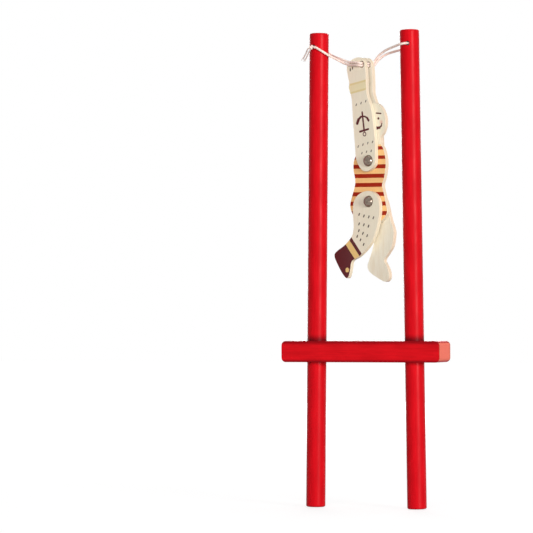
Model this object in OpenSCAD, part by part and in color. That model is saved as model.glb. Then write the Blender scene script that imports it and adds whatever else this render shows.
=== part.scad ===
/* [Handles] */
// Diameter of each round handle
handle_d = 11; // [9:0.5:13]
// Length of each handle
handle_l = 270; // [240:5:320]
// Length of each handle below its pivot
grip_l = 88.5; // [60:0.5:100]
// Distance between the two pivots
pivot_gap = 59; // [58:0.5:70]
// Inward lean of each handle above the crossbar, in degrees
handle_lean = 0.7; // [0:0.1:0.9]
// Rounding of the handle ends
handle_round = 1; // [0.4:0.1:2]
// Distance of the string holes below the tops
string_hole_drop = 8; // [6:0.5:9]
// Diameter of the string holes in the handles
string_hole_d = 2.6; // [2:0.1:3]
// Turn of the left string hole about its handle, in degrees
left_hole_turn = -15; // [-30:1:0]
// Turn of the right string hole about its handle, in degrees
right_hole_turn = 6; // [-10:1:20]

/* [Crossbar] */
// Length of the crossbar
bar_l = 95; // [90:1:120]
// Depth of the crossbar, front to back
bar_d = 19; // [16:0.5:26]
// Height of the crossbar
bar_h = 12; // [9:0.5:14]
// Rounding of the crossbar's ends, seen from the front
bar_round = 2.6; // [0.6:0.2:3]
// Room round each handle in its crossbar hole
bar_play = 0.3; // [0.25:0.05:0.5]

/* [Pivot nails] */
// Diameter of the nail shank
nail_d = 2; // [1.5:0.1:3]
// Diameter of the nail head
nail_head_d = 4; // [3.2:0.1:6]
// Thickness of the nail head
nail_head_t = 0.8; // [0.5:0.1:1.5]
// Wood left in front of the nail point
nail_cover = 2; // [1.5:0.1:3]
// Room round the nail in the handle
nail_play = 0.06; // [0.02:0.01:0.1]

/* [Figure] */
// Thickness of the plywood
ply_t = 2.5; // [2:0.1:2.6]
// Gap between neighbouring plywood layers
ply_gap = 0.3; // [0.2:0.05:0.35]
// Turn of the figure about the upright, in degrees
figure_turn = 22; // [21:1:30]
// Distance from the hand holes to the shoulder
arm_l = 55; // [50:0.5:62]
// Lean of the arms from the upright, in degrees
arm_lean = 5; // [3:0.5:8]
// Distance from the shoulder to the hip
trunk_l = 23; // [21:0.5:26]
// Diameter of the hand holes
hand_hole_d = 3.2; // [3:0.1:4]

/* [Rivets] */
// Diameter of the rivet shank
rivet_d = 2.5; // [2:0.1:3]
// Room round the shank in the plywood
rivet_play = 0.08; // [0.04:0.01:0.1]
// Diameter of the domed head
dome_d = 6.6; // [5:0.1:7]
// Height of the domed head
dome_h = 2.6; // [1.2:0.1:3]
// Diameter of the washer behind the figure
washer_d = 5.2; // [4:0.1:6]
// Thickness of the washer
washer_t = 0.4; // [0.3:0.05:0.45]

/* [String] */
// Diameter of the cotton string
cord_d = 1.3; // [1:0.05:1.35]
// Drop of the hand holes below the string holes
string_hang = 10.9; // [8:0.1:14]
// Diameter of the knot
knot_d = 2.7; // [2.5:0.1:3]
// Diameter of each frayed tail
tail_d = 0.9; // [0.6:0.1:1]

/* [Hidden] */
$fn = 64;
e = 0.01;
bar_mid = bar_h / 2;
layer = ply_t + ply_gap;
stack = 1.5 * ply_t + ply_gap;
seat = 0.05;
shoulder = arm_l * [sin(arm_lean), -cos(arm_lean)];
hip = shoulder - [0, trunk_l];
nail_l = bar_d - nail_cover - nail_head_t;
hole_up = handle_l - grip_l - string_hole_drop;
hole_x = pivot_gap / 2 - hole_up * sin(handle_lean);
hole_z = bar_mid + hole_up * cos(handle_lean);
hand_at = [1.6, -0.5, hole_z - string_hang];
strand_gap = 1.4;

red = [0.84, 0.07, 0.12];
cream = [0.90, 0.86, 0.79];
ply = [0.98, 0.93, 0.80];
steel = [0.75, 0.75, 0.76];
cotton = [0.96, 0.86, 0.84];

// Outlines, as points that a smooth closed curve runs through

// Arm: shoulder at the origin, hand hole at [0, arm_l]
function arm_outline() = [
    [-1.5, -5.8], [-6, -4], [-9.2, 2.2], [-9.4, 9.4], [-9.6, 0.43 * arm_l],
    [-9.4, 0.6 * arm_l], [-9.6, arm_l - 17.3], [-11, arm_l - 12.1],
    [-10.5, arm_l - 9.7], [-11.2, arm_l - 4.9], [-11.6, arm_l - 0.2], [-10, arm_l + 2],
    [-7.3, arm_l + 3.7], [-2.7, arm_l + 4.4], [0.6, arm_l + 3], [2.4, arm_l - 1.4],
    [2.2, arm_l - 10.8], [1.9, arm_l - 16.5], [3.6, arm_l - 22.3],
    [5, 0.49 * arm_l], [5.8, 0.23 * arm_l], [5.2, 0.4], [3.6, -3.6]
];

// Head and trunk: shoulder at the origin, hip at [0, -trunk_l]
function body_outline() = [
    [-5.2, -trunk_l - 12.2], [-11.4, -trunk_l - 9.8], [-14.9, -trunk_l - 6.6], [-16.6, -trunk_l - 2],
    [-15.6, -0.9 * trunk_l], [-13.2, -0.63 * trunk_l], [-12.7, -0.45 * trunk_l], [-14, -0.18 * trunk_l],
    [-13.4, 1], [-10, 5.6], [-3.4, 8.4], [-1.6, 11.4], [-4.6, 15.4], [-7.2, 21],
    [-5.2, 28.2], [0.8, 32.6], [6, 31.2], [9.6, 26.2], [10.4, 20.6], [8.9, 16], [6.9, 13.4],
    [6.3, 10.8], [7, 8.9], [9, 6.2], [10.4, 0.8], [10.5, -3.8], [9.3, -0.42 * trunk_l],
    [7.8, -0.61 * trunk_l], [9.2, -0.83 * trunk_l], [10.6, -trunk_l - 1.8],
    [11.4, -trunk_l - 6.2], [8.8, -trunk_l - 9.8], [3.4, -trunk_l - 12.4]
];

// Front leg: hip at the origin
front_leg_outline = [
    [-0.2, 6], [-5.2, 5.2], [-9.4, 2.8], [-11.5, -0.4], [-12.1, -4.6], [-11.7, -10],
    [-11.6, -15], [-13, -19.4], [-18.2, -24.2], [-25, -28], [-26.4, -30.6], [-24.2, -35],
    [-20.2, -40.6], [-17, -43.2], [-15.2, -41.2], [-14.2, -37.4], [-13, -33.4], [-8, -31.2],
    [-2, -27], [3, -21.6], [6.2, -14.6], [7.8, -8], [8.2, -2.8], [7.2, 1.4], [4.2, 4.6]
];

// Back leg: the same cut, swung so that its foot points the other way
back_leg_outline = [
    [0.4, 6.2], [-4.8, 4.4], [-7.4, 0.4], [-7.2, -5], [-4.6, -12], [-1, -20],
    [-1.8, -26], [-4.7, -32.6], [-6.1, -36.6], [-4.1, -40], [2.6, -43.6], [7.4, -45.4],
    [9.9, -43.8], [10.1, -40.4], [8.4, -36.6], [6.4, -33.2], [9.5, -29.4], [12.5, -25.4],
    [13.9, -19], [13.4, -15.4], [11.2, -10], [9.6, -4.4], [7.6, 1.2], [4.6, 5]
];

// Point p measured from the middle of a handle's string hole, side -1 left, 1 right;
// its distance in front or behind follows the handle's diameter
function by_hole(side, p) = [side * hole_x, 0, hole_z] + [p[0], p[1] * handle_d / 11, p[2]];

// Point measured from the hand hole, across the figure, up, and out from its face, side 1 in front, -1 behind
function by_hand(side, p) = hand_at + p[0] * [cos(figure_turn), -sin(figure_turn), 0] + [0, 0, p[1]]
    - side * (stack + p[2]) * [sin(figure_turn), cos(figure_turn), 0];

knot_at = by_hole(-1, [-2, -7.1, -0.3]);
function from_knot(route) = concat([knot_at + (knot_d / 2 + seat) * unit(route[0] - knot_at)], route);

// String routes, in order from the knot to the hands and from the hands to the right handle
left_front_route = from_knot(concat(
    [for (p = [
        [0.2, -7.05, -0.4], [1.6, -6.8, -1.1], [3.4, -6.1, -2.3], [5.3, -4.6, -3.7],
        [7.1, -2.7, -5.1], [10, -1.2, -6.7], [13, -0.5, -8.4]
    ]) by_hole(-1, p)],
    [for (p = [
        [-12, 1.1, 1], [-8.8, 0.2, 0.95], [-5.6, -0.1, 1.25], [-3.1, -0.3, 1.7],
        [-1.4, -0.5, 1.8], [-0.3, -0.7, 1.3], [0, -0.7, 0.4], [0, -0.7, 0]
    ]) by_hand(1, p)]
));
left_rear_route = from_knot(concat(
    [for (p = [
        [-1.2, -4.6, -0.1], [0, 0, 0], [1.4, 5.3, -0.3], [2.2, 7, -1.7],
        [3.8, 7.6, -3.5], [6, 6.9, -4.6], [8.5, 4.6, -5.6], [11, 2.2, -6.4], [13.7, 0.3, -7.3]
    ]) by_hole(-1, p)],
    [for (p = [
        [-11.6, 2.6, 0.95], [-8.6, 1.8, 0.95], [-5.6, 1.4, 1.25], [-3.1, 1.2, 1.7],
        [-1.4, 0.9, 1.8], [-0.3, 0.7, 1.3], [0, 0.7, 0.4], [0, 0.7, 0]
    ]) by_hand(1, p)]
));
right_front_route = concat(
    [for (p = [[0, 0.7, 0], [0, 0.7, 0.4], [0.3, 1.4, 1.3], [1.4, 2.9, 2.1], [3.5, 5.1, 2.2]]) by_hand(-1, p)],
    [for (p = [
        [-17.4, 2.6, -4.1], [-14.4, 0.9, -2.9], [-11.4, -1, -2.1], [-8.4, -3.2, -1.5], [-5.6, -5.4, -1],
        [-3.2, -7, -0.6], [-1.2, -7.5, -0.3], [0.2, -7, -0.1], [0.6, -5.5, 0], [0, 0, 0]
    ]) by_hole(1, p)]
);
right_rear_route = concat(
    [for (p = [
        [0, 0, 0], [-0.6, 5.5, -0.1], [-1.2, 7, -0.5], [-2.9, 7.6, -1.1], [-5.2, 7.3, -1.8], [-8, 6.6, -2.6],
        [-11.2, 6.1, -3.4], [-14.4, 5.9, -4.3], [-17.4, 5.8, -5.5]
    ]) by_hole(1, p)],
    [for (p = [[3.2, 3.8, 4], [1.3, 1.7, 3.1], [0.3, -0.3, 1.9], [0, -0.7, 0.4], [0, -0.7, 0]]) by_hand(-1, p)]
);
tail_routes = [
    [[-4.3, -6.9, -1.3], [-5.3, -6.7, -3.5], [-7, -6.8, -6.2], [-8, -6.6, -7.6]],
    [[-3.1, -7.5, -2.8], [-4.2, -7.6, -5], [-6.3, -7.5, -8.4]]
];

// Point at share t of the way from b to c on a smooth curve through a, b, c and d
function curve_point(a, b, c, d, t) = 0.5 * (
    2 * b + (c - a) * t + (2 * a - 5 * b + 4 * c - d) * t * t
    + (3 * b - a - 3 * c + d) * t * t * t
);
function smooth_loop(p, steps = 4) = let (n = len(p)) [
    for (i = [0 : n - 1], k = [0 : steps - 1])
        curve_point(p[(i + n - 1) % n], p[i], p[(i + 1) % n], p[(i + 2) % n], k / steps)
];

// Round tube along a route, one ring at each point
function unit(v) = v / norm(v);
function tangent(p, i) = unit(p[min(i + 1, len(p) - 1)] - p[max(i - 1, 0)]);
function ring(p, i, d, up, sides) = let (
    t = tangent(p, i),
    side = unit(cross(t, up)),
    rise = cross(side, t)
) [for (k = [0 : sides - 1]) p[i] + d / 2 * (side * cos(360 * k / sides) + rise * sin(360 * k / sides))];

module tube(p, d, up = [0, 0, 1], sides = 8) {
    n = len(p);
    rings = [for (i = [0 : n - 1]) each ring(p, i, d, up, sides)];
    walls = [
        for (i = [0 : n - 2], k = [0 : sides - 1]) let (
            a = i * sides + k,
            b = i * sides + (k + 1) % sides
        ) each [[a, a + sides, b + sides], [a, b + sides, b]]
    ];
    ends = [[for (k = [0 : sides - 1]) k], [for (k = [sides - 1 : -1 : 0]) (n - 1) * sides + k]];
    polyhedron(points = rings, faces = concat(walls, ends), convexity = 6);
}

// Moves a shape from the figure's own plane, hand hole at the origin, to its place on the string
module place_figure() {
    translate(hand_at)
        rotate([0, 0, -figure_turn])
            rotate([90, 0, 0])
                children();
}

// Plywood plate of one layer, 1 in front, 0 in the middle, -1 behind
module plate(outline, level) {
    translate([0, 0, level * layer - ply_t / 2])
        linear_extrude(ply_t)
            polygon(smooth_loop(outline));
}

module through_hole(d) {
    translate([0, 0, -2 * layer])
        cylinder(d = d, h = 4 * layer);
}

// Handle standing on its pivot, leaning inward; side is -1 on the left, 1 on the right
module handle(side, hole_turn) {
    translate([side * pivot_gap / 2, 0, bar_mid])
        rotate([0, -side * handle_lean, 0])
            difference() {
                translate([0, 0, -grip_l])
                    rotate_extrude()
                        difference() {
                            square([handle_d / 2, handle_l]);
                            translate([handle_d / 2 - handle_round, 0])
                                corner_cut();
                            translate([handle_d / 2 - handle_round, handle_l])
                                mirror([0, 1])
                                    corner_cut();
                        }
                rotate([90, 0, 0])
                    cylinder(d = nail_d + 2 * nail_play, h = 2 * handle_d, center = true);
                translate([0, 0, handle_l - grip_l - string_hole_drop])
                    rotate([90, 0, hole_turn])
                        cylinder(d = string_hole_d, h = 2 * handle_d, center = true);
            }
}

// Corner of a square outside a quarter circle
module corner_cut() {
    difference() {
        translate([0, -1])
            square([handle_round + 1, handle_round + 1]);
        translate([0, handle_round])
            circle(r = handle_round);
    }
}

// Nail driven in from the back of the crossbar, its head flush
module nail(side) {
    color(steel)
        translate([side * pivot_gap / 2, bar_d / 2, bar_mid])
            rotate([90, 0, 0]) {
                cylinder(d = nail_head_d, h = nail_head_t);
                cylinder(d = nail_d, h = nail_head_t + nail_l);
            }
}

module rivet(at) {
    dome_r = (dome_d * dome_d / 4 + dome_h * dome_h) / (2 * dome_h);
    color(steel)
        place_figure()
            translate([at[0], at[1], 0]) {
                translate([0, 0, stack + seat])
                    intersection() {
                        translate([0, 0, dome_h - dome_r])
                            sphere(r = dome_r);
                        cylinder(d = dome_d + 1, h = dome_h + 1);
                    }
                translate([0, 0, -stack - seat - washer_t])
                    cylinder(d = rivet_d, h = 2 * (stack + seat) + washer_t + dome_h / 2);
            }
}

module washer(at) {
    color(steel)
        place_figure()
            translate([at[0], at[1], -stack - seat - washer_t])
                difference() {
                    cylinder(d = washer_d, h = washer_t);
                    translate([0, 0, -1])
                        cylinder(d = rivet_d + 2 * rivet_play, h = washer_t + 2);
                }
}

module arm(level) {
    place_figure()
        difference() {
            translate([shoulder[0], shoulder[1], 0])
                rotate([0, 0, arm_lean])
                    plate(arm_outline(), level);
            translate([shoulder[0], shoulder[1], 0])
                through_hole(rivet_d + 2 * rivet_play);
            through_hole(hand_hole_d);
        }
}

module leg(outline, level) {
    place_figure()
        translate([hip[0], hip[1], 0])
            difference() {
                plate(outline, level);
                through_hole(rivet_d + 2 * rivet_play);
            }
}

module crossbar() {
    color(red)
        difference() {
            translate([0, bar_d / 2, bar_mid])
                rotate([90, 0, 0])
                    linear_extrude(bar_d)
                        bar_outline();
            for (side = [-1, 1])
                translate([side * pivot_gap / 2, 0, 0]) {
                    translate([0, 0, -1])
                        cylinder(d = handle_d + 2 * bar_play, h = bar_h + 2);
                    translate([0, bar_d / 2 + e, bar_mid])
                        rotate([90, 0, 0]) {
                            cylinder(d = nail_head_d, h = nail_head_t + e);
                            cylinder(d = nail_d, h = nail_head_t + nail_l + e);
                        }
                }
        }
}

// Long rectangle with its four corners rounded
module bar_outline() {
    difference() {
        square([bar_l, bar_h], center = true);
        for (sx = [-1, 1], sy = [-1, 1])
            translate([sx * (bar_l / 2 - bar_round), sy * (bar_h / 2 - bar_round)])
                difference() {
                    translate([sx, sy] * (bar_round + 1) / 2)
                        square(bar_round + 1, center = true);
                    circle(r = bar_round);
                }
    }
}

module left_nail() nail(-1);

module right_nail() nail(1);

module left_handle() {
    color(red)
        handle(-1, left_hole_turn);
}

module right_handle() {
    color(red)
        handle(1, right_hole_turn);
}

module front_arm() {
    color(cream)
        arm(1);
}

module back_arm() {
    color(cream)
        arm(-1);
}

module shoulder_rivet() rivet(shoulder);

module shoulder_washer() washer(shoulder);

module body() {
    color([0.99, 0.78, 0.52])
        place_figure()
            translate([shoulder[0], shoulder[1], 0])
                difference() {
                    plate(body_outline(), 0);
                    through_hole(rivet_d + 2 * rivet_play);
                    translate([0, -trunk_l, 0])
                        through_hole(rivet_d + 2 * rivet_play);
                }
}

module hip_rivet() rivet(hip);

module hip_washer() washer(hip);

module front_leg() {
    color(cream)
        leg(front_leg_outline, 1);
}

module back_leg() {
    color(ply)
        leg(back_leg_outline, -1);
}

module string_left_front() {
    color(cotton)
        tube(left_front_route, cord_d);
}

module string_left_rear() {
    color(cotton)
        tube(left_rear_route, cord_d);
}

// Both strands where they run straight through the two hands
module string_hands() {
    color(cotton)
        for (rise = [-0.5, 0.5] * strand_gap)
            tube([by_hand(1, [0, rise, 0]), hand_at + [0, 0, rise], by_hand(-1, [0, rise, 0])], cord_d);
}

module string_right_front() {
    color(cotton)
        tube(right_front_route, cord_d);
}

module string_right_rear() {
    color(cotton)
        tube(right_rear_route, cord_d);
}

module knot() {
    color(cotton)
        translate(knot_at)
            sphere(d = knot_d, $fn = 32);
}

module knot_tails() {
    color(cotton)
        for (route = tail_routes)
            tube(from_knot([for (p = route) by_hole(-1, p)]), tail_d);
}

crossbar();
left_nail();
right_nail();
left_handle();
right_handle();
front_arm();
back_arm();
shoulder_rivet();
shoulder_washer();
body();
hip_rivet();
hip_washer();
front_leg();
back_leg();
string_left_front();
string_left_rear();
string_hands();
string_right_front();
string_right_rear();
knot();
knot_tails();
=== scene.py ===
import math
import random

import bmesh
import bpy
from mathutils import Matrix, Vector


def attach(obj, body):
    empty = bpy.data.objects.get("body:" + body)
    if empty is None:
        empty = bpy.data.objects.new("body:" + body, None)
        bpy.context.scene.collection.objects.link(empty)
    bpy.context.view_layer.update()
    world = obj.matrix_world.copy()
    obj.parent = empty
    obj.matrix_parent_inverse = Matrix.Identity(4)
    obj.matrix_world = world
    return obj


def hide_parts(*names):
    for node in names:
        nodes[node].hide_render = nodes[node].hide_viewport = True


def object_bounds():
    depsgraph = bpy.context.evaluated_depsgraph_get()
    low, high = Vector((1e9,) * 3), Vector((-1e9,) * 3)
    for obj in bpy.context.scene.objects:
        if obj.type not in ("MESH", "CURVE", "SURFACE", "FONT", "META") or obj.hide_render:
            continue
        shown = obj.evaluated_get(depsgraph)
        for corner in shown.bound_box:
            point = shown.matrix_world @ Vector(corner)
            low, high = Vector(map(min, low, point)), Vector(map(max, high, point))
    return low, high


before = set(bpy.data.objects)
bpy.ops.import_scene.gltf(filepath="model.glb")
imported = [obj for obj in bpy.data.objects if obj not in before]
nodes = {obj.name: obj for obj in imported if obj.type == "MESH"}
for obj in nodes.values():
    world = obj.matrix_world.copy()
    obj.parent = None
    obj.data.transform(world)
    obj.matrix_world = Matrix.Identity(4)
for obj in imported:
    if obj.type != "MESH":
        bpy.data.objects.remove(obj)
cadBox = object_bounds()
print("frame loaded:", len(nodes), "nodes")

# camera
cameraView = {
    "place": (0.58544, -1.57102, 0.03158),
    "aim": (-0.0604, 0.0, 0.0547),
    "roll": -0.2205,  # degrees
    "lens": 199.63,
}


def addCamera(view):
    place, aim, roll = Vector(view["place"]), Vector(view["aim"]), math.radians(view["roll"])
    forward = (aim - place).normalized()
    right = forward.cross(Vector((0, 0, 1))).normalized()
    up = right.cross(forward)
    across = right * math.cos(roll) + up * math.sin(roll)
    rise = up * math.cos(roll) - right * math.sin(roll)
    data = bpy.data.cameras.new("photo_camera")
    data.lens = view["lens"]
    data.sensor_width = 36
    data.clip_start, data.clip_end = 0.05, 20
    camera = bpy.data.objects.new("photo_camera", data)
    bpy.context.scene.collection.objects.link(camera)
    camera.matrix_world = Matrix(
        [[across[i], rise[i], -forward[i], place[i]] for i in range(3)] + [[0, 0, 0, 1]]
    )
    bpy.context.scene.camera = camera


addCamera(cameraView)
print("camera set")

# sizes that the part has too, in mm
handleSize = {
    "length": 270,
    "pivotUp": 88.5,  # from the foot to the pivot nail
    "holeDown": 8,  # from the top to the string hole
}
barSize = {
    "halfDepth": 9.5,
    "halfHeight": 6.0,
    "pivotOut": 29.5,  # from the middle of the bar to a handle's pivot
}
figureSize = {
    "handDown": 10.9,  # from the string holes to the hands
    "stack": 4.05,  # from the middle of the plywood stack to its outer faces
    "layer": 2.8,  # from one plate's middle to the next one's
    "face": 1.235,  # from a plate's middle to just under its faces
}
lean = math.radians(0.7)  # of the handles
turn = math.radians(22)  # of the figure
holeUp = handleSize["length"] - handleSize["pivotUp"] - handleSize["holeDown"]
holeX = barSize["pivotOut"] - holeUp * math.sin(lean)
holeZ = barSize["halfHeight"] + holeUp * math.cos(lean)
handAt = Vector((1.6, -0.5, holeZ - figureSize["handDown"]))
acrossFigure = Vector((math.cos(turn), -math.sin(turn), 0))
outOfFigure = Vector((-math.sin(turn), -math.cos(turn), 0))


def byHole(side, points):
    # points measured from a handle's string hole; side is -1 for the left
    return [Vector((side * holeX, 0, holeZ)) + Vector(p) for p in points]


def byHand(side, points):
    # points across and up from the hand hole and out from the stack; side is 1 in front
    stack = figureSize["stack"]
    return [
        handAt + acrossFigure * p[0] + Vector((0, 0, p[1])) + outOfFigure * side * (stack + p[2])
        for p in points
    ]


# string, in mm
stringLook = {
    "diameter": 1.3,
    "overPlies": 1.38,  # across the tops of the plies
    "plies": 3,
    "twist": 5.1,  # for one turn
    "step": 0.3,  # between rings
    "groove": 0.14,  # share of the radius between plies
    "plySides": 8,
    "knot": 2.7,  # across
    "knotGap": 0.05,
}

knotAt = byHole(-1, [(-2, -7.1, -0.3)])[0]


def fromKnot(points):
    # the route starts on the knot's surface
    reach = stringLook["knot"] / 2 + stringLook["knotGap"]
    return [knotAt + (points[0] - knotAt).normalized() * reach] + points


# the routes' points are the part's own
leftFrontRoute = fromKnot(byHole(-1, [
    (0.2, -7.05, -0.4), (1.6, -6.8, -1.1), (3.4, -6.1, -2.3), (5.3, -4.6, -3.7),
    (7.1, -2.7, -5.1), (10, -1.2, -6.7), (13, -0.5, -8.4),
]) + byHand(1, [
    (-12, 1.1, 1), (-8.8, 0.2, 0.95), (-5.6, -0.1, 1.25), (-3.1, -0.3, 1.7),
    (-1.4, -0.5, 1.8), (-0.3, -0.7, 1.3), (0, -0.7, 0.4), (0, -0.7, 0),
]))
leftRearRoute = fromKnot(byHole(-1, [
    (-1.2, -4.6, -0.1), (0, 0, 0), (1.4, 5.3, -0.3), (2.2, 7, -1.7), (3.8, 7.6, -3.5),
    (6, 6.9, -4.6), (8.5, 4.6, -5.6), (11, 2.2, -6.4), (13.7, 0.3, -7.3),
]) + byHand(1, [
    (-11.6, 2.6, 0.95), (-8.6, 1.8, 0.95), (-5.6, 1.4, 1.25), (-3.1, 1.2, 1.7),
    (-1.4, 0.9, 1.8), (-0.3, 0.7, 1.3), (0, 0.7, 0.4), (0, 0.7, 0),
]))
rightFrontRoute = byHand(-1, [
    (0, 0.7, 0), (0, 0.7, 0.4), (0.3, 1.4, 1.3), (1.4, 2.9, 2.1), (3.5, 5.1, 2.2),
]) + byHole(1, [
    (-17.4, 2.6, -4.1), (-14.4, 0.9, -2.9), (-11.4, -1, -2.1), (-8.4, -3.2, -1.5), (-5.6, -5.4, -1),
    (-3.2, -7, -0.6), (-1.2, -7.5, -0.3), (0.2, -7, -0.1), (0.6, -5.5, 0), (0, 0, 0),
])
rightRearRoute = byHole(1, [
    (0, 0, 0), (-0.6, 5.5, -0.1), (-1.2, 7, -0.5), (-2.9, 7.6, -1.1), (-5.2, 7.3, -1.8),
    (-8, 6.6, -2.6), (-11.2, 6.1, -3.4), (-14.4, 5.9, -4.3), (-17.4, 5.8, -5.5),
]) + byHand(-1, [
    (3.2, 3.8, 4), (1.3, 1.7, 3.1), (0.3, -0.3, 1.9), (0, -0.7, 0.4), (0, -0.7, 0),
])
handRoutes = [
    byHand(1, [(0, rise, 0)]) + [handAt + Vector((0, 0, rise))] + byHand(-1, [(0, rise, 0)])
    for rise in (-0.7, 0.7)
]
tailRoutes = [
    fromKnot(byHole(-1, [
        (-4.3, -6.9, -1.3), (-5.3, -6.7, -3.5), (-7, -6.8, -6.2), (-8, -6.6, -7.6),
    ])),
    fromKnot(byHole(-1, [(-3.1, -7.5, -2.8), (-4.2, -7.6, -5), (-6.3, -7.5, -8.4)])),
]


def smoothLine(route, step, steps=12):
    # evenly spaced points on a smooth curve through the route's points
    ends = [route[0] * 2 - route[1]] + route + [route[-1] * 2 - route[-2]]
    fine = []
    for a, b, c, d in zip(ends, ends[1:], ends[2:], ends[3:]):
        for k in range(steps):
            t = k / steps
            bend, twist = a * 2 - b * 5 + c * 4 - d, b * 3 - a - c * 3 + d
            fine.append((b * 2 + (c - a) * t + bend * t * t + twist * t**3) / 2)
    fine.append(route[-1])
    total = sum((q - p).length for p, q in zip(fine, fine[1:]))
    count = max(3, round(total / step))
    line, run, i = [fine[0]], 0.0, 0
    for k in range(1, count):
        want = total * k / count
        while run + (fine[i + 1] - fine[i]).length < want:
            run += (fine[i + 1] - fine[i]).length
            i += 1
        line.append(fine[i].lerp(fine[i + 1], (want - run) / (fine[i + 1] - fine[i]).length))
    return line + [fine[-1]]


def addProfile(diameter, plies, groove):
    # closed outline of the twisted plies, seen along the cord
    data = bpy.data.curves.new("ply_outline", "CURVE")
    spline = data.splines.new("POLY")
    count = plies * stringLook["plySides"]
    spline.points.add(count - 1)
    for k in range(count):
        a = 2 * math.pi * k / count
        r = diameter / 2000 * (1 - groove * (1 - abs(math.cos(plies * a / 2))) ** 1.3)
        spline.points[k].co = (r * math.cos(a), r * math.sin(a), 0, 1)
    spline.use_cyclic_u = True
    profile = bpy.data.objects.new("ply_outline", data)
    bpy.context.scene.collection.objects.link(profile)
    return profile


def twistCord(name, lines, diameter, plies, pitch, groove, taper=0.0):
    # plies twisted along each line; the finished piece is a mesh
    profile = addProfile(diameter, plies, groove)
    data = bpy.data.curves.new(name, "CURVE")
    data.dimensions = "3D"
    data.bevel_mode = "OBJECT"
    data.bevel_object = profile
    data.use_fill_caps = True
    for line in lines:
        spline = data.splines.new("POLY")
        spline.points.add(len(line) - 1)
        run = 0.0
        for i, p in enumerate(line):
            run += (p - line[i - 1]).length if i else 0
            spline.points[i].co = (p[0] / 1000, p[1] / 1000, p[2] / 1000, 1)
            spline.points[i].tilt = 2 * math.pi * run / pitch
            spline.points[i].radius = 1 - taper * i / (len(line) - 1)
        spline.use_smooth = True
    curve = bpy.data.objects.new(name + "_line", data)
    bpy.context.scene.collection.objects.link(curve)
    bpy.context.view_layer.update()
    shaped = curve.evaluated_get(bpy.context.evaluated_depsgraph_get())
    mesh = bpy.data.meshes.new_from_object(shaped)
    mesh.name = name
    for old in (curve, profile):
        curveData = old.data
        bpy.data.objects.remove(old)
        bpy.data.curves.remove(curveData)
    bm = bmesh.new()
    bm.from_mesh(mesh)
    bmesh.ops.remove_doubles(bm, verts=bm.verts, dist=1e-7)
    bmesh.ops.recalc_face_normals(bm, faces=bm.faces)
    for face in bm.faces:
        face.smooth = len(face.verts) < 5
    bm.to_mesh(mesh)
    bm.free()
    piece = bpy.data.objects.new(name, mesh)
    bpy.context.scene.collection.objects.link(piece)
    return piece


def standIn(piece, node, body):
    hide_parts(node)
    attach(piece, body)
    return piece


def addStrand(name, node, body, routes):
    lines = [smoothLine(route, stringLook["step"]) for route in routes]
    piece = twistCord(
        name, lines, stringLook["overPlies"], stringLook["plies"],
        stringLook["twist"], stringLook["groove"],
    )
    return standIn(piece, node, body), lines[0]


leftFront, leftFrontLine = addStrand(
    "cotton_left_front", "string_left_front", "left_strands", [leftFrontRoute]
)
leftRear, leftRearLine = addStrand(
    "cotton_left_rear", "string_left_rear", "left_strands", [leftRearRoute]
)
rightFront, rightFrontLine = addStrand(
    "cotton_right_front", "string_right_front", "right_strands", [rightFrontRoute]
)
rightRear, rightRearLine = addStrand(
    "cotton_right_rear", "string_right_rear", "right_strands", [rightRearRoute]
)
# the pieces through the hands turn with them
handStrands = addStrand("cotton_through_hands", "string_hands", "arms", handRoutes)[0]

knotLook = {
    "count": 150,  # points round the knot
    "size": 0.31,
    "depth": 0.54,
    "squeeze": 0.9,
    "closed": 0.985,  # share of the loop that is drawn
    "cord": 1.06,  # the cord is pulled thin here
    "twist": 4.0,
}


def addKnot():
    # overhand knot, pulled tight
    count, size, squeeze = knotLook["count"], knotLook["size"], knotLook["squeeze"]
    line = []
    for k in range(count + 1):
        t = 2 * math.pi * k / count * knotLook["closed"]
        line.append(knotAt + Vector((
            size * (math.sin(t) + 2 * math.sin(2 * t)) * squeeze,
            knotLook["depth"] * math.sin(3 * t) * squeeze,
            size * (math.cos(t) - 2 * math.cos(2 * t)),
        )))
    piece = twistCord(
        "cotton_knot", [line], knotLook["cord"], stringLook["plies"],
        knotLook["twist"], stringLook["groove"],
    )
    return standIn(piece, "knot", "left_handle")


tailLook = {
    "step": 0.3,  # between rings
    "ply": 0.6,
    "yarns": 2,  # in each ply
    "twist": 1.6,
    "groove": 0.4,
    "taper": 0.25,
    "closed": 0.2,  # from the tail's middle to a ply before they come apart
    "opensAt": 0.6,  # share of the tail's length
    "open": 2.2,
    "leastOpen": 0.28,
    "turn": 5,  # radians along the tail
    "wave": 0.25,
}


def addTails():
    # each cord end, its plies coming apart towards the tip
    rand = random.Random(4)
    lines = []
    for route in tailRoutes:
        middle = smoothLine(route, tailLook["step"])
        for ply in range(stringLook["plies"]):
            around = 2 * math.pi * (ply / stringLook["plies"]) + rand.uniform(-0.3, 0.3)
            spread = tailLook["leastOpen"] + rand.uniform(0.3, 0.65)
            line = []
            for i, p in enumerate(middle):
                share = i / (len(middle) - 1)
                opened = spread * max(0, share - tailLook["opensAt"]) ** 1.5
                away = tailLook["closed"] + opened * tailLook["open"]
                a = around + share * tailLook["turn"] * (1 - 0.5 * share)
                side = Vector((math.cos(a), math.sin(a), tailLook["wave"] * math.sin(2 * a)))
                line.append(p + side * away)
            # one ply has broken off short
            if route is tailRoutes[0] and ply == 0:
                short = len(line) // 4
            else:
                short = rand.randrange(0, 5)
            lines.append(line[: len(line) - short])
    piece = twistCord(
        "cotton_tails", lines, tailLook["ply"], tailLook["yarns"],
        tailLook["twist"], tailLook["groove"], tailLook["taper"],
    )
    return standIn(piece, "knot_tails", "left_handle")


knot = addKnot()
tails = addTails()


print("string made")

# finishes


def linear(c):
    return c / 255 / 12.92 if c < 10.3 else ((c / 255 + 0.055) / 1.055) ** 2.4


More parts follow.
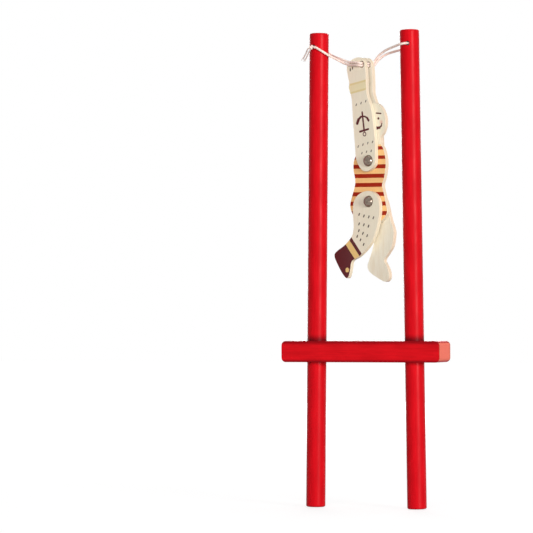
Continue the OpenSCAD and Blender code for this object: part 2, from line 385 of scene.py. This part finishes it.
def ink(red, green, blue):
    # screen colour, 0 to 255, as the linear colour that a shader wants
    return (linear(red), linear(green), linear(blue), 1)


class Finish:
    # one material being built
    def __init__(self, name, roughness=0.5, metallic=0.0, specular=0.3):
        self.material = bpy.data.materials.new(name)
        self.material.use_nodes = True
        self.tree = self.material.node_tree
        self.tree.nodes.clear()
        self.surface = self.tree.nodes.new("ShaderNodeBsdfPrincipled")
        self.output = self.tree.nodes.new("ShaderNodeOutputMaterial")
        self.tree.links.new(self.surface.outputs[0], self.output.inputs[0])
        self.surface.inputs["Roughness"].default_value = roughness
        self.surface.inputs["Metallic"].default_value = metallic
        self.surface.inputs["Specular IOR Level"].default_value = specular

    def plug(self, socket, value):
        if isinstance(value, bpy.types.NodeSocket):
            self.tree.links.new(value, socket)
        else:
            socket.default_value = value

    def add(self, kind, inputs=None, **settings):
        node = self.tree.nodes.new(kind)
        for name, value in settings.items():
            setattr(node, name, value)
        for key, value in (inputs or {}).items():
            self.plug(node.inputs[key], value)
        return node

    def math(self, operation, a, b=0.0, c=0.0):
        return self.add("ShaderNodeMath", {0: a, 1: b, 2: c}, operation=operation).outputs[0]

    def plus(self, a, b):
        return self.math("ADD", a, b)

    def minus(self, a, b):
        return self.math("SUBTRACT", a, b)

    def times(self, a, b):
        return self.math("MULTIPLY", a, b)

    def most(self, masks):
        # the highest of several masks
        highest = masks[0]
        for mask in masks[1:]:
            highest = self.math("MAXIMUM", highest, mask)
        return highest

    def mix(self, factor, low, high):
        node = self.add("ShaderNodeMix", {0: factor, 6: low, 7: high}, data_type="RGBA")
        return node.outputs[2]

    def fade(self, value, start, end, low=0.0, high=1.0):
        # eases from low, where the value is at start, to high, where it is at end
        inputs = {0: value, 1: start, 2: end, 3: low, 4: high}
        return self.add("ShaderNodeMapRange", inputs, interpolation_type="SMOOTHSTEP").outputs[0]

    def above(self, value, limit, soft=0.08):
        return self.fade(value, limit - soft, limit + soft)

    def under(self, value, limit, soft=0.08):
        return self.fade(value, limit + soft, limit - soft)

    def between(self, value, low, high, soft=0.08):
        return self.times(self.above(value, low, soft), self.under(value, high, soft))

    def blend(self, first, second, look):
        # two textures, each with its weight, as one tone
        a, b = look["weights"]
        return self.fade(self.plus(self.times(first, a), self.times(second, b)), *look["tone"])

    def millimetres(self, turnBy=(0, 0, 0), shift=(0, 0, 0)):
        inputs = {
            "Vector": self.add("ShaderNodeTexCoord").outputs["Object"],
            "Location": shift,
            "Rotation": turnBy,
            "Scale": (1000, 1000, 1000),
        }
        return self.add("ShaderNodeMapping", inputs).outputs[0]

    def apart(self, where):
        return self.add("ShaderNodeSeparateXYZ", {0: where}).outputs

    def vector(self, operation, inputs):
        return self.add("ShaderNodeVectorMath", inputs, operation=operation).outputs

    def stretch(self, where, scale):
        return self.vector("MULTIPLY", {0: where, 1: scale})[0]

    def noise(self, where, scale=1.0, detail=3.0, roughness=0.5, distortion=0.0):
        inputs = {
            "Vector": where,
            "Scale": scale,
            "Detail": detail,
            "Roughness": roughness,
            "Distortion": distortion,
        }
        return self.add("ShaderNodeTexNoise", inputs).outputs[0]

    def bump(self, height, distance, strength=1.0):
        # distance is in mm
        inputs = {"Height": height, "Strength": strength, "Distance": distance / 1000}
        self.plug(self.surface.inputs["Normal"], self.add("ShaderNodeBump", inputs).outputs[0])

    def paint(self, colour):
        self.plug(self.surface.inputs["Base Color"], colour)

    def shine(self, roughness):
        self.plug(self.surface.inputs["Roughness"], roughness)

    def cover(self, *names):
        for name in names:
            target = nodes[name] if name in nodes else bpy.data.objects[name]
            target.data.materials.clear()
            target.data.materials.append(self.material)


# red paint
handlePaint = {
    "red": ink(211, 14, 26),
    "deepRed": ink(186, 9, 20),
    "shadedHoleWood": ink(120, 40, 34),
    "paintedShade": ink(106, 4, 13),
    "pivotAt": (29.571, 5.639),  # across and up in the handle's own leaning axes, in mm
    "holeInside": (5.42, 5.3),  # mm from the handle's axis
    "holeReach": 1.5,  # mm from the hole's middle
    "shadeBandFades": (11.2, 7.0),  # mm above the pivot
    "shadeBandWander": 1.4,
    "shadeBandFrom": 5.0,
    "grainStretch": (3.2, 3.2, 0.07),
    "cloudStretch": (0.25, 0.25, 0.06),
    "weights": (0.55, 0.6),  # of grain and cloud
    "tone": (0.35, 0.8),  # from red to deep red
    "gloss": (0.3, 0.42),
    "bump": 0.012,  # mm
}


def paintHandle(node, side):
    f = Finish("red_gloss_paint_" + node, specular=0.07)
    pivotX, pivotZ = handlePaint["pivotAt"]
    where = f.millimetres((0, side * lean, 0), (-side * pivotX, 0, -pivotZ))
    x, y, height = f.apart(where)
    radius = f.math("SQRT", f.plus(f.math("POWER", x, 2.0), f.math("POWER", y, 2.0)))
    grain = f.noise(f.stretch(where, handlePaint["grainStretch"]), 1.0, 4.0, 0.6)
    cloud = f.noise(f.stretch(where, handlePaint["cloudStretch"]))
    tone = f.blend(grain, cloud, handlePaint)
    colour = f.mix(tone, handlePaint["red"], handlePaint["deepRed"])
    # the string hole's wall: bare wood, painted dark as the shade inside the hole
    wall = f.fade(radius, *handlePaint["holeInside"])
    fromHole = f.math("ABSOLUTE", f.minus(height, holeUp))
    hole = f.times(wall, f.between(fromHole, -1.0, handlePaint["holeReach"]))
    colour = f.mix(hole, colour, handlePaint["shadedHoleWood"])
    # painted shade: a dark band on the handle just above the crossbar
    uneven = f.plus(height, f.times(cloud, handlePaint["shadeBandWander"]))
    shadeBand = f.fade(uneven, *handlePaint["shadeBandFades"])
    shadeBand = f.times(shadeBand, f.math("GREATER_THAN", height, handlePaint["shadeBandFrom"]))
    colour = f.mix(shadeBand, colour, handlePaint["paintedShade"])
    f.paint(colour)
    f.shine(f.fade(cloud, 0.3, 0.7, *handlePaint["gloss"]))
    f.bump(f.plus(grain, f.times(cloud, 2.0)), handlePaint["bump"])
    f.cover(node)


paintHandle("left_handle", -1)
paintHandle("right_handle", 1)

barPaint = {
    "red": ink(208, 16, 26),
    "deepRed": ink(185, 11, 20),
    "endGrain": ink(252, 132, 112),
    "endRings": ink(240, 106, 88),
    "endRim": ink(188, 108, 80),
    # painted shade for the long edges
    "edge": ink(126, 5, 14),
    "sawnFrom": (46.8, 47.05),  # mm from the middle of the bar
    "sawnHalf": 9.46,  # mm, just under half the bar's depth
    "edgeShadeFades": (2.7, 0.4),  # mm in from the long edges
    "lowEdgeShade": 0.4,  # the painted edge shade is narrower on them
    "rimFades": (1.7, 0.5),  # mm in from the rim of a sawn end
    "rimAmount": 0.6,
    "grainStretch": (0.06, 2.4, 2.4),
    "cloudStretch": (0.08, 0.3, 0.3),
    "ringStretch": (0.0, 0.55, 1.0),
    "poreStretch": (0.2, 3.0, 3.0),
    "shadeBreakupStretch": (0.35, 1.0, 1.0),
    "shadeKept": (0.8, 1.0),  # how much of the painted edge shade is kept, by noise
    "weights": (0.6, 0.55),  # of grain and cloud
    "tone": (0.4, 0.8),  # from red to deep red
    "gloss": (0.4, 0.52),
    "sawnGloss": 0.25,  # how much duller the sawn ends are
    "bump": 0.02,  # mm
}


def paintBar():
    f = Finish("red_satin_paint", specular=0.09)
    where = f.millimetres()
    along, through, height = f.apart(where)
    halfDepth, halfHeight = barSize["halfDepth"], barSize["halfHeight"]
    grain = f.noise(f.stretch(where, barPaint["grainStretch"]), 1.0, 4.0, 0.6)
    cloud = f.noise(f.stretch(where, barPaint["cloudStretch"]))
    tone = f.blend(grain, cloud, barPaint)
    colour = f.mix(tone, barPaint["red"], barPaint["deepRed"])
    # growth rings cross the sawn ends
    inputs = {
        "Vector": f.stretch(where, barPaint["ringStretch"]),
        "Scale": 0.42,
        "Distortion": 2.2,
        "Detail": 2.0,
    }
    rings = f.add("ShaderNodeTexWave", inputs, wave_type="RINGS").outputs[1]
    pores = f.noise(f.stretch(where, barPaint["poreStretch"]), 1.0, 2.0)
    endColour = f.mix(f.times(rings, pores), barPaint["endGrain"], barPaint["endRings"])
    inside = f.math("LESS_THAN", f.math("ABSOLUTE", through), barPaint["sawnHalf"])
    sawn = f.times(inside, f.fade(f.math("ABSOLUTE", along), *barPaint["sawnFrom"]))
    # painted shade along the long edges, broken up by noise
    toFace = f.minus(halfDepth, f.math("ABSOLUTE", through))
    toTop = f.minus(halfHeight, f.math("ABSOLUTE", f.minus(height, halfHeight)))
    toEdge = f.most([toFace, toTop])
    low = f.math("LESS_THAN", height, halfHeight)
    toEdge = f.times(toEdge, f.plus(1.0, f.times(low, barPaint["lowEdgeShade"])))
    wornAndShade = f.noise(f.stretch(where, barPaint["shadeBreakupStretch"]), 1.0, 4.0, 0.7)
    shadeKept = f.fade(wornAndShade, 0.3, 0.7, *barPaint["shadeKept"])
    dark = f.times(f.fade(toEdge, *barPaint["edgeShadeFades"]), shadeKept)
    colour = f.mix(dark, colour, barPaint["edge"])
    # the rim of each sawn end is a little darker
    rim = f.fade(f.math("MINIMUM", toFace, toTop), *barPaint["rimFades"])
    endColour = f.mix(f.times(rim, barPaint["rimAmount"]), endColour, barPaint["endRim"])
    colour = f.mix(sawn, colour, endColour)
    f.paint(colour)
    gloss = f.fade(cloud, 0.3, 0.7, *barPaint["gloss"])
    f.shine(f.plus(gloss, f.times(sawn, barPaint["sawnGloss"])))
    painted = f.times(grain, f.minus(1.0, sawn))
    f.bump(f.plus(painted, f.times(pores, f.times(sawn, 1.5))), barPaint["bump"])
    f.cover("crossbar")


paintBar()
print("red paint done")

# printed plywood
plyWood = {
    "edge": ink(226, 214, 190),
    "edgeDark": ink(212, 192, 159),
    "face": ink(244, 238, 221),
    "faceGrain": ink(232, 219, 194),
    "print": ink(243, 233, 210),
    "printGrain": ink(230, 218, 194),
    "peach": ink(255, 203, 136),
    "peachGrain": ink(248, 190, 118),
    "stripe": ink(162, 34, 2),
    "maroon": ink(88, 36, 39),
    "yellow": ink(236, 201, 130),
    "band": ink(236, 222, 176),
    "bandLine": ink(222, 198, 128),
    "tick": ink(58, 42, 38),
    "blush": ink(232, 176, 158),
    # painted shade at the hand hole's mouth
    "holeShadeInk": ink(120, 92, 70),
    "midPly": 0.42,  # mm, half its thickness
    "wander": 0.16,  # mm, of the ink's edges
    "grainStretch": (2.6, 2.6, 0.11),
    "cloudStretch": (0.3, 0.3, 0.06),
    "fibreStretch": (3.0, 5.0, 1.2),
    "weights": (0.7, 0.5),  # of grain and cloud
    "tone": (0.4, 0.85),  # from face to face grain
    "printTone": (0.42, 0.8),
    "gloss": (0.46, 0.62),
    "bump": 0.03,  # mm
}


def strokeGroup():
    # mask of a round-ended pen stroke from Start to End
    group = bpy.data.node_groups.new("pen_stroke", "ShaderNodeTree")
    face = group.interface
    for name in ("Point", "Start", "End"):
        face.new_socket(name=name, in_out="INPUT", socket_type="NodeSocketVector")
    for name in ("Half Width", "Soft"):
        face.new_socket(name=name, in_out="INPUT", socket_type="NodeSocketFloat")
    face.new_socket(name="Mask", in_out="OUTPUT", socket_type="NodeSocketFloat")
    start = group.nodes.new("NodeGroupInput")
    finish = group.nodes.new("NodeGroupOutput")

    def vector(operation, a, b):
        node = group.nodes.new("ShaderNodeVectorMath")
        node.operation = operation
        group.links.new(a, node.inputs[0])
        group.links.new(b, node.inputs[3 if operation == "SCALE" else 1])
        return node

    along = vector("SUBTRACT", start.outputs[0], start.outputs[1]).outputs[0]
    whole = vector("SUBTRACT", start.outputs[2], start.outputs[1]).outputs[0]
    share = group.nodes.new("ShaderNodeMath")
    share.operation = "DIVIDE"
    share.use_clamp = True
    group.links.new(vector("DOT_PRODUCT", along, whole).outputs[1], share.inputs[0])
    group.links.new(vector("DOT_PRODUCT", whole, whole).outputs[1], share.inputs[1])
    nearest = vector("SCALE", whole, share.outputs[0]).outputs[0]
    away = vector("DISTANCE", along, nearest).outputs[1]
    low, high = group.nodes.new("ShaderNodeMath"), group.nodes.new("ShaderNodeMath")
    low.operation, high.operation = "SUBTRACT", "ADD"
    for node in (low, high):
        group.links.new(start.outputs[3], node.inputs[0])
        group.links.new(start.outputs[4], node.inputs[1])
    edge = group.nodes.new("ShaderNodeMapRange")
    edge.interpolation_type = "SMOOTHSTEP"
    group.links.new(away, edge.inputs[0])
    group.links.new(high.outputs[0], edge.inputs[1])
    group.links.new(low.outputs[0], edge.inputs[2])
    group.links.new(edge.outputs[0], finish.inputs[0])
    return group


penStroke = strokeGroup()


class Plate(Finish):
    # a plywood plate with ink on its outer faces; places are (across, up) from the hand hole, in mm
    def __init__(self, name, level):
        super().__init__(name, specular=0.25)
        c, s = math.cos(turn), math.sin(turn)
        shift = (-(handAt[0] * c - handAt[1] * s), -(handAt[0] * s + handAt[1] * c), -handAt[2])
        self.where = self.millimetres((0, 0, turn), shift)
        away = self.times(self.apart(self.where)[1], -1.0)
        self.depth = self.minus(away, figureSize["layer"] * level)
        self.front = self.math("GREATER_THAN", self.depth, figureSize["face"])
        self.back = self.math("LESS_THAN", self.depth, -figureSize["face"])
        # ink edges wander a little, as on a screen print
        inputs = {"Vector": self.where, "Scale": 1.6, "Detail": 2.0}
        wander = self.add("ShaderNodeTexNoise", inputs).outputs[1]
        moved = self.vector("ADD", {0: wander, 1: (-0.5, -0.5, -0.5)})[0]
        moved = self.vector("SCALE", {0: moved, 3: plyWood["wander"]})[0]
        moved = self.vector("ADD", {0: self.where, 1: moved})[0]
        self.pen = self.stretch(moved, (1.0, 0.0, 1.0))
        along = self.stretch(self.where, plyWood["grainStretch"])
        self.grain = self.noise(along, 1.0, 4.0, 0.62, 0.2)
        self.cloud = self.noise(self.stretch(self.where, plyWood["cloudStretch"]))

    def stroke(self, start, end, halfWidth, soft=0.1):
        node = self.add("ShaderNodeGroup", node_tree=penStroke)
        places = (self.pen, (start[0], 0, start[1]), (end[0], 0, end[1]))
        for key, value in enumerate(places + (halfWidth, soft)):
            self.plug(node.inputs[key], value)
        return node.outputs[0]

    def strokes(self, many):
        return self.most([self.stroke(*one) for one in many])

    def dot(self, centre, radius, soft=0.1):
        return self.stroke(centre, centre, radius, soft)

    def ring(self, centre, radius, halfWidth):
        outer = self.dot(centre, radius + halfWidth)
        inner = self.dot(centre, radius - halfWidth)
        return self.minus(outer, inner)

    def slant(self, start, end):
        # distance to the right-hand side of the line from start to end
        length = math.hypot(end[0] - start[0], end[1] - start[1])
        a, b = (end[1] - start[1]) / length, -(end[0] - start[0]) / length
        offset = self.vector("DOT_PRODUCT", {0: self.pen, 1: (a, 0.0, b)})[1]
        return self.minus(offset, a * start[0] + b * start[1])

    def bareFace(self):
        tone = self.blend(self.grain, self.cloud, plyWood)
        return self.mix(tone, plyWood["face"], plyWood["faceGrain"])

    def inkBase(self, colour="print", grainColour="printGrain", amount=0.75):
        tone = self.times(self.fade(self.grain, *plyWood["printTone"]), amount)
        return self.mix(tone, plyWood[colour], plyWood[grainColour])

    def lay(self, ground, mask, inkName, strength=1.0):
        # ink or stain on the ground colour
        if strength < 1:
            mask = self.times(mask, strength)
        return self.mix(mask, ground, plyWood[inkName])

    def edges(self):
        # three plies, the middle one darker end grain
        middle = self.between(self.depth, -plyWood["midPly"], plyWood["midPly"], 0.06)
        fibre = self.noise(self.stretch(self.where, plyWood["fibreStretch"]))
        tone = self.plus(self.times(middle, 0.35), self.fade(fibre, 0.45, 0.8, 0.0, 0.35))
        return self.mix(tone, plyWood["edge"], plyWood["edgeDark"])

    def close(self, front, back, *covered):
        colour = self.mix(self.front, self.edges(), front)
        colour = self.mix(self.back, colour, back)
        self.paint(colour)
        self.shine(self.fade(self.cloud, 0.3, 0.7, *plyWood["gloss"]))
        self.bump(self.plus(self.grain, self.times(self.cloud, 0.6)), plyWood["bump"], 0.7)
        self.cover(*covered)


armPrint = {
    "knuckles": [((-8.8, -3.0), (-8.75, -2.1), 0.46), ((-7.1, -2.1), (-7.05, -1.4), 0.42)],
    "holeShadeRadius": 2.0,
    "cuff": ((-9, -10.6), (3.5, -8.7)),  # its upper edge
    "cuffWide": 5.8,
    "cuffLine": 1.1,
    "ticks": [
        (-4.3, -22.7), (-0.6, -21.9), (3.0, -21.0), (-2.9, -46.4), (0.7, -45.5),
        (4.4, -44.8), (8.0, -44.3), (-0.1, -50.3), (3.4, -49.7), (7.0, -49.3),
    ],
    "tick": ((0.2, 0.4), 0.34),
    "shank": ((0.2, -27.2), (1.7, -37.7), 0.6),
    "stock": ((-1.6, -38.1), (4.9, -36.9), 0.58),
    "flukes": [
        (-3.6, -33.2), (-2.6, -31.2), (-0.9, -29.8), (0.6, -29.4),
        (2.4, -29.7), (4.0, -30.6), (5.1, -32.0),
    ],
    "flukeWidths": [0.95, 0.7, 0.5, 0.45, 0.5, 0.7],
    "eye": ((1.95, -39.6), 1.05, 0.3),
}


def ticks(places, tick):
    # short pen strokes, leaning to the right
    (dx, dy), halfWidth = tick
    return [((x - dx, y - dy), (x + dx, y + dy), halfWidth) for x, y in places]


def printArm(node, level):
    p = Plate("printed_plywood_" + node, level)
    colour = p.inkBase()
    wide, line = armPrint["cuffWide"], armPrint["cuffLine"]
    cuff = p.slant(*armPrint["cuff"])
    colour = p.lay(colour, p.between(cuff, 0.0, wide), "band", 0.8)
    lines = p.most([p.between(cuff, 0.0, line, 0.2), p.between(cuff, wide - line, wide, 0.2)])
    colour = p.lay(colour, lines, "bandLine", 0.55)
    marks = p.strokes(ticks(armPrint["ticks"], armPrint["tick"]) + armPrint["knuckles"])
    colour = p.lay(colour, marks, "tick", 0.92)
    flukes = zip(armPrint["flukes"], armPrint["flukes"][1:], armPrint["flukeWidths"])
    anchor = p.strokes([armPrint["shank"], armPrint["stock"], *flukes])
    anchor = p.most([anchor, p.ring(*armPrint["eye"])])
    colour = p.lay(colour, anchor, "maroon")
    # painted shade round the mouth of the hand hole
    mouth = p.dot((0, 0), armPrint["holeShadeRadius"], 0.2)
    colour = p.lay(colour, mouth, "holeShadeInk", 0.7)
    bare = p.lay(p.bareFace(), mouth, "holeShadeInk", 0.5)
    if level > 0:
        p.close(colour, bare, node)
    else:
        p.close(bare, colour, node)


printArm("front_arm", 1)
printArm("back_arm", -1)

sockPrint = {
    "tick": ((0.22, 0.42), 0.43),
    "darkWide": 2.2,
    "yellowWide": 3.8,
    "button": 1.35,
}
frontLegPrint = {
    "ticks": [
        (-2.4, -84.9), (1.2, -85.9), (4.9, -86.5), (8.4, -87.1), (-2.5, -90.3),
        (1.1, -90.9), (4.7, -91.7), (-2.7, -94.1), (0.4, -95.7), (3.6, -97.1),
        (-4.0, -97.3), (-1.5, -99.4), (0.9, -102.0),
    ],
    "ankle": ((-8.4, -97.9), (-0.6, -107.2)),  # upper edge of the sock's dark stripe
    "button": (-11.8, -116.3),
}
backLegPrint = {
    "ticks": [
        (2.2, -85.0), (6.0, -85.6), (9.8, -86.6), (3.6, -90.4), (7.6, -91.4), (11.4, -92.6),
        (5.0, -95.6), (9.2, -96.8), (13.2, -97.6), (6.4, -100.4), (10.8, -101.2),
    ],
    "ankle": ((1.5, -104.4), (16.5, -107.2)),
    "button": (12.0, -119.4),
}


def legInk(p, look):
    colour = p.inkBase()
    marks = p.strokes(ticks(look["ticks"], sockPrint["tick"]))
    colour = p.lay(colour, marks, "tick", 0.95)
    below = p.slant(*look["ankle"])
    dark, yellow = sockPrint["darkWide"], sockPrint["darkWide"] + sockPrint["yellowWide"]
    colour = p.lay(colour, p.between(below, 0, dark), "maroon")
    colour = p.lay(colour, p.between(below, dark, yellow), "yellow")
    colour = p.lay(colour, p.above(below, yellow), "maroon")
    return p.lay(colour, p.dot(look["button"], sockPrint["button"]), "yellow")


def printLegs():
    p = Plate("printed_plywood_front_leg", 1)
    p.close(legInk(p, frontLegPrint), p.bareFace(), "front_leg")
    p = Plate("bare_plywood_back_leg", -1)
    p.close(p.bareFace(), legInk(p, backLegPrint), "back_leg")


printLegs()

bodyPrint = {
    "stripes": [
        (-46.6, -48.5), (-51.8, -53.8), (-56.8, -59.1), (-62.1, -64.4),
        (-67.2, -69.5), (-72.4, -74.7), (-77.8, -80.1), (-83.2, -85.5),
    ],
    "slope": 0.021,  # of the stripes
    "slopeFrom": 5.0,
    "soft": 0.07,
    "neck": -45.6,
    "eyes": [(2.8, -31.0), (10.0, -31.0)],
    "eyeRadius": 0.72,
    "brows": [((0.9, -28.3), (4.4, -27.9), 0.4), ((8.4, -27.9), (11.9, -28.3), 0.4)],
    "nose": [((6.4, -32.2), (6.0, -34.2), 0.22), ((6.0, -34.2), (6.8, -34.6), 0.22)],
    "whiskers": [
        ((6.4, -36.0), (8.8, -36.4), 0.95), ((8.8, -36.4), (10.9, -36.2), 0.75),
        ((10.9, -36.2), (12.3, -35.2), 0.5), ((12.3, -35.2), (12.6, -34.0), 0.36),
        ((6.4, -36.0), (4.0, -36.4), 0.95), ((4.0, -36.4), (1.9, -36.2), 0.75),
        ((1.9, -36.2), (0.5, -35.2), 0.5), ((0.5, -35.2), (0.2, -34.0), 0.36),
    ],
    "mouth": [((5.2, -38.4), (6.4, -38.8), 0.26), ((6.4, -38.8), (7.6, -38.4), 0.26)],
    "cheeks": [(0.6, -33.4), (12.2, -33.2)],
    "cheekRadius": 1.0,
}


def printBody():
    p = Plate("printed_plywood_body", 0)
    skin = p.inkBase()
    shirt = p.inkBase("peach", "peachGrain", 0.6)
    penParts = p.apart(p.pen)
    fromMiddle = p.minus(penParts[0], bodyPrint["slopeFrom"])
    height = p.math("MULTIPLY_ADD", fromMiddle, bodyPrint["slope"], penParts[2])
    soft = bodyPrint["soft"]
    stripes = p.most([p.between(height, low, top, soft) for top, low in bodyPrint["stripes"]])
    shirt = p.lay(shirt, stripes, "stripe")
    back = p.mix(p.under(height, bodyPrint["neck"], soft), skin, shirt)
    blush = bodyPrint["cheekRadius"]
    cheeks = p.most([p.dot(centre, blush, 0.8) for centre in bodyPrint["cheeks"]])
    face = p.lay(back, cheeks, "blush", 0.7)
    eyes = [(centre, centre, bodyPrint["eyeRadius"]) for centre in bodyPrint["eyes"]]
    lines = [line for part in ("brows", "nose", "whiskers", "mouth") for line in bodyPrint[part]]
    face = p.lay(face, p.strokes(eyes + lines), "maroon")
    p.close(face, back, "body")


printBody()
print("plywood printed")

# metal
metalLook = {
    "nickel": ink(136, 122, 110),
    "steel": ink(150, 148, 146),
    "wornAndShade": ink(92, 80, 71),
    "wear": (0.4, 0.75),  # from the metal's own colour to worn
    "scratchStretch": (9.0, 9.0, 1.2),
    "dulling": 0.14,  # added to the roughness where it is worn
    "bump": 0.006,  # mm
}


def metalFinish(name, light, roughness, *covered):
    f = Finish(name, metallic=1.0, specular=0.5)
    where = f.millimetres()
    wear = f.noise(where, 0.9, 4.0, 0.6)
    scratches = f.noise(f.stretch(where, metalLook["scratchStretch"]))
    f.paint(f.mix(f.fade(wear, *metalLook["wear"]), metalLook[light], metalLook["wornAndShade"]))
    rough = f.plus(wear, f.times(scratches, 0.5))
    f.shine(f.fade(rough, 0.5, 1.0, roughness, roughness + metalLook["dulling"]))
    f.bump(scratches, metalLook["bump"])
    f.cover(*covered)


metalFinish("polished_nickel", "nickel", 0.14, "shoulder_rivet", "hip_rivet")
metalFinish("washer_nickel", "nickel", 0.25, "shoulder_washer", "hip_washer")
metalFinish("nail_steel", "steel", 0.32, "left_nail", "right_nail")

# cotton
cottonLook = {
    "light": ink(252, 229, 217),
    "shade": ink(226, 196, 183),
    "endLight": ink(222, 203, 194),  # ends darker: painted shade of the loose fibres, with some handling dirt
    "endShade": ink(176, 154, 146),
    "fibreStretch": (4.0, 4.0, 4.0),
    "weights": (0.6, 0.5),  # of fibre and tint
    "tone": (0.4, 0.75),  # from light to shade
    "sheen": 0.35,
    "bump": 0.05,  # mm
}


def cottonFinish(name, light, shade, *covered):
    f = Finish(name, roughness=0.85, specular=0.15)
    where = f.millimetres()
    fibre = f.noise(f.stretch(where, cottonLook["fibreStretch"]), 1.0, 4.0, 0.65)
    tint = f.noise(where, 0.35, 2.0)
    f.paint(f.mix(f.blend(fibre, tint, cottonLook), light, shade))
    f.bump(fibre, cottonLook["bump"])
    f.surface.inputs["Sheen Weight"].default_value = cottonLook["sheen"]
    f.surface.inputs["Sheen Roughness"].default_value = 0.5
    f.cover(*(piece.name for piece in covered))


cottonFinish(
    "cotton_string", cottonLook["light"], cottonLook["shade"],
    leftFront, leftRear, rightFront, rightRear, handStrands, knot,
)
cottonFinish("cotton_ends", cottonLook["endLight"], cottonLook["endShade"], tails)
print("metal and cotton done")

# studio
studio = {
    "worldLight": 0.17,
    "lampsAim": (0, 0, 0.06),
    # place, size, watts, and whether it shows in shiny surfaces
    "lamps": {
        "key_softbox": ((1.49, -1.08, 0.22), 0.6, 23.5, True),
        "fill_softbox": ((0.45, -1.75, 0.3), 1.1, 20.5, False),
        "back_softbox": ((-0.7, 1.6, 0.35), 1.1, 22.0, True),
        "top_softbox": ((0.1, 0.2, 1.3), 1.0, 3.0, True),
    },
    "floorZ": cadBox[0][2] - 0.0002,
    "floorSize": 4.0,
    "floorTone": ink(160, 160, 160),
    "floorGlow": (0.775, 1.03),  # beside the toy, and far from it
    "glowFades": (0.3, 1.0),  # metres from the toy
}


def backdropRays(tree):
    # 1 for the rays that see the backdrop itself, 0 for those that carry light
    path = tree.nodes.new("ShaderNodeLightPath").outputs
    seen = path["Is Camera Ray"]
    for name in ("Is Glossy Ray", "Is Transmission Ray"):
        node = tree.nodes.new("ShaderNodeMath")
        node.operation = "MAXIMUM"
        tree.links.new(seen, node.inputs[0])
        tree.links.new(path[name], node.inputs[1])
        seen = node.outputs[0]
    return seen


def addFloor():
    mesh = bpy.data.meshes.new("pale_floor")
    bm = bmesh.new()
    bmesh.ops.create_grid(bm, x_segments=1, y_segments=1, size=studio["floorSize"])
    bmesh.ops.translate(bm, verts=bm.verts, vec=(0, 0, studio["floorZ"]))
    bm.to_mesh(mesh)
    bm.free()
    floor = bpy.data.objects.new("pale_floor", mesh)
    bpy.context.scene.collection.objects.link(floor)
    f = Finish("pale_floor", roughness=0.9, specular=0.0)
    f.paint(studio["floorTone"])
    away = f.vector("LENGTH", {0: f.add("ShaderNodeTexCoord").outputs["Object"]})[1]
    level = f.fade(away, *studio["glowFades"], *studio["floorGlow"])
    strength = f.times(backdropRays(f.tree), level)
    glow = f.add("ShaderNodeEmission", {"Color": (1, 1, 1, 1), "Strength": strength})
    both = f.add("ShaderNodeAddShader", {0: f.surface.outputs[0], 1: glow.outputs[0]})
    f.tree.links.new(both.outputs[0], f.output.inputs[0])
    mesh.materials.append(f.material)


def addWorld():
    world = bpy.data.worlds.new("studio")
    bpy.context.scene.world = world
    world.use_nodes = True
    tree = world.node_tree
    tree.nodes.clear()
    out = tree.nodes.new("ShaderNodeOutputWorld")
    back = tree.nodes.new("ShaderNodeBackground")
    level = tree.nodes.new("ShaderNodeMapRange")
    level.inputs[3].default_value = studio["worldLight"]
    level.inputs[4].default_value = 1.0
    tree.links.new(backdropRays(tree), level.inputs[0])
    tree.links.new(level.outputs[0], back.inputs[1])
    back.inputs[0].default_value = (1, 1, 1, 1)
    tree.links.new(back.outputs[0], out.inputs[0])


def addLamps():
    for name, (place, size, power, mirrored) in studio["lamps"].items():
        data = bpy.data.lights.new(name, "AREA")
        data.shape = "DISK"
        data.size = size
        data.energy = power
        lamp = bpy.data.objects.new(name, data)
        bpy.context.scene.collection.objects.link(lamp)
        lamp.location = place
        lamp.rotation_mode = "QUATERNION"
        ahead = Vector(studio["lampsAim"]) - Vector(place)
        lamp.rotation_quaternion = ahead.to_track_quat("-Z", "Y")
        lamp.visible_camera = False
        lamp.visible_glossy = mirrored


addFloor()
addWorld()
addLamps()
bpy.context.scene.view_settings.view_transform = "Standard"
print("studio ready")
